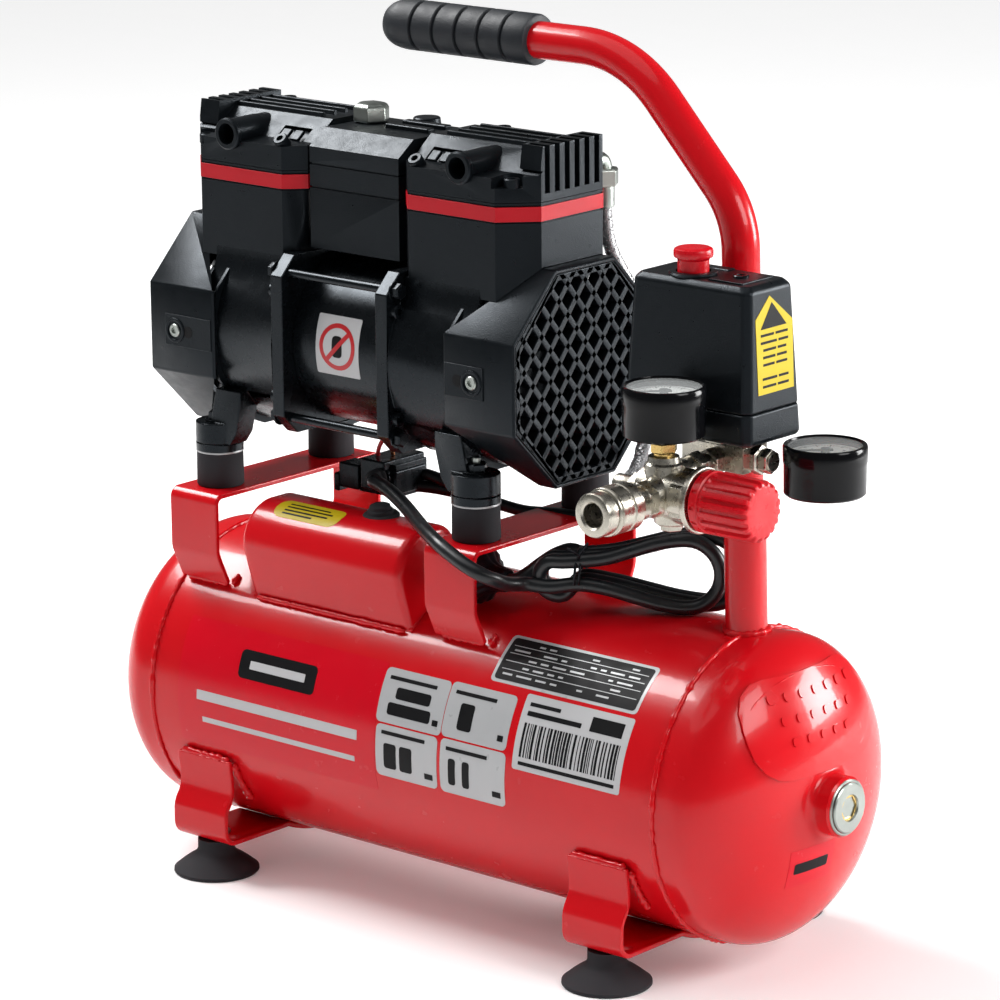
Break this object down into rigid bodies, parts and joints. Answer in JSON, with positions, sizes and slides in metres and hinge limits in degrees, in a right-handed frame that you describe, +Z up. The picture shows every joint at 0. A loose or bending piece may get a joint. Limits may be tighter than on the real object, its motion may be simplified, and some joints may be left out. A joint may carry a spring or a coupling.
{
  "type": "portable air compressor",
  "caption": "Oil-free air compressor with a piston head at each end of its motor, above a horizontal tank with a bent carrying handle, pressure switch, regulator, gauges and quick coupler.",
  "frame": {"origin": "middle of the outline seen from above, on the floor under the rubber feet", "axes": "+X along the tank's axis towards the pressure switch, -Y to the side of the quick coupler, +Z up"},
  "size_m": [0.5001, 0.2425, 0.5003],
  "materials": {
    "red_paint": "gloss red powder coat",
    "black_rubber": "matt black rubber",
    "black_plastic": "satin black moulded plastic",
    "black_casting": "gloss black paint over an aluminium casting",
    "black_paint": "gloss black paint",
    "zinc": "zinc plated steel",
    "steel": "plain steel",
    "aluminium": "plain aluminium",
    "nickel": "nickel plated brass",
    "red_plastic": "gloss red moulded plastic"
  },
  "bodies": {
    "frame": {"tank_shell": "red_paint", "tank_end_left": "red_paint", "tank_end_right": "red_paint", "foot_bracket_left": "red_paint", "foot_bracket_right": "red_paint", "pump_bracket_left": "red_paint", "pump_bracket_right": "red_paint", "handle_post": "red_paint", "handle_tube": "red_paint", "capacitor_cover": "red_paint", "rubber_foot_left_front": "black_rubber", "rubber_foot_left_rear": "black_rubber", "rubber_foot_right_front": "black_rubber", "rubber_foot_right_rear": "black_rubber", "rubber_mount_left_front": "black_rubber", "rubber_mount_left_rear": "black_rubber", "rubber_mount_right_front": "black_rubber", "rubber_mount_right_rear": "black_rubber", "handle_grip": "black_rubber", "power_cord": "black_rubber", "cord_hank": "black_rubber", "fan_shroud_left": "black_plastic", "fan_shroud_right": "black_plastic", "cylinder_housing_left": "black_plastic", "cylinder_housing_right": "black_plastic", "head_cover_left": "black_plastic", "head_cover_right": "black_plastic", "air_duct": "black_plastic", "terminal_block": "black_plastic", "switch_base": "black_plastic", "switch_cover": "black_plastic", "gauge_case_outlet": "black_plastic", "gauge_case_tank": "black_plastic", "mains_plug": "black_plastic", "crankcase_left": "black_casting", "crankcase_right": "black_casting", "motor_shell": "black_paint", "end_plug": "zinc", "outlet_fitting": "zinc", "tie_rod_front_upper": "steel", "tie_rod_front_lower": "steel", "tie_rod_rear_upper": "steel", "tie_rod_rear_lower": "steel", "braided_hose": "steel", "stator_core": "steel", "run_capacitor": "aluminium", "manifold": "nickel", "regulator_body": "nickel", "coupler_body": "nickel"},
    "rotor": {"rotor_shaft": "steel", "fan_left": "black_plastic", "fan_right": "black_plastic"},
    "piston_left": {"piston_left": "aluminium"},
    "piston_right": {"piston_right": "aluminium"},
    "switch_knob": {"switch_knob": "red_plastic"},
    "regulator_spindle": {"regulator_spindle": "steel"},
    "regulator_knob": {"regulator_knob": "red_plastic"},
    "coupler_sleeve": {"coupler_sleeve": "nickel"},
    "needle_outlet": {"gauge_needle_outlet": "black_plastic"},
    "needle_tank": {"gauge_needle_tank": "black_plastic"}
  },
  "joints": [
    {"name": "rotor_spin", "type": "hinge", "parent": "frame", "child": "rotor", "pos_m": [-0.0803, 0.0218, 0.3091], "axis": [1, 0, 0], "continuous": true},
    {"name": "piston_left_stroke", "type": "slide", "parent": "frame", "child": "piston_left", "axis": [0, 0, 1], "range_m": [-0.006, 0.006]},
    {"name": "piston_right_stroke", "type": "slide", "parent": "frame", "child": "piston_right", "axis": [0, 0, 1], "range_m": [-0.006, 0.006]},
    {"name": "switch_knob_travel", "type": "slide", "parent": "frame", "child": "switch_knob", "axis": [0, 0, 1], "range_m": [-0.006, 0]},
    {"name": "regulator_turn", "type": "hinge", "parent": "frame", "child": "regulator_spindle", "pos_m": [0.204, -0.0612, 0.2785], "axis": [1, 0, 0], "range_deg": [-720, 720]},
    {"name": "regulator_knob_pull", "type": "slide", "parent": "regulator_spindle", "child": "regulator_knob", "axis": [1, 0, 0], "range_m": [0, 0.003]},
    {"name": "coupler_sleeve_slide", "type": "slide", "parent": "frame", "child": "coupler_sleeve", "axis": [0, 1, 0], "range_m": [0, 0.005], "stiffness_N_per_m": 400, "springref_m": -0.004},
    {"name": "needle_outlet_turn", "type": "hinge", "parent": "frame", "child": "needle_outlet", "pos_m": [0.1765, -0.0614, 0.3303], "axis": [0, 0, -1], "range_deg": [0, 270], "stiffness_Nm_per_rad": 0.0002},
    {"name": "needle_tank_turn", "type": "hinge", "parent": "frame", "child": "needle_tank", "pos_m": [0.2285, 0.0058, 0.2948], "axis": [0, 0, -1], "range_deg": [0, 270], "stiffness_Nm_per_rad": 0.0002}
  ],
  "couplings": [
    {"joint": "piston_right_stroke", "follows": "piston_left_stroke", "ratio": -1}
  ]
}
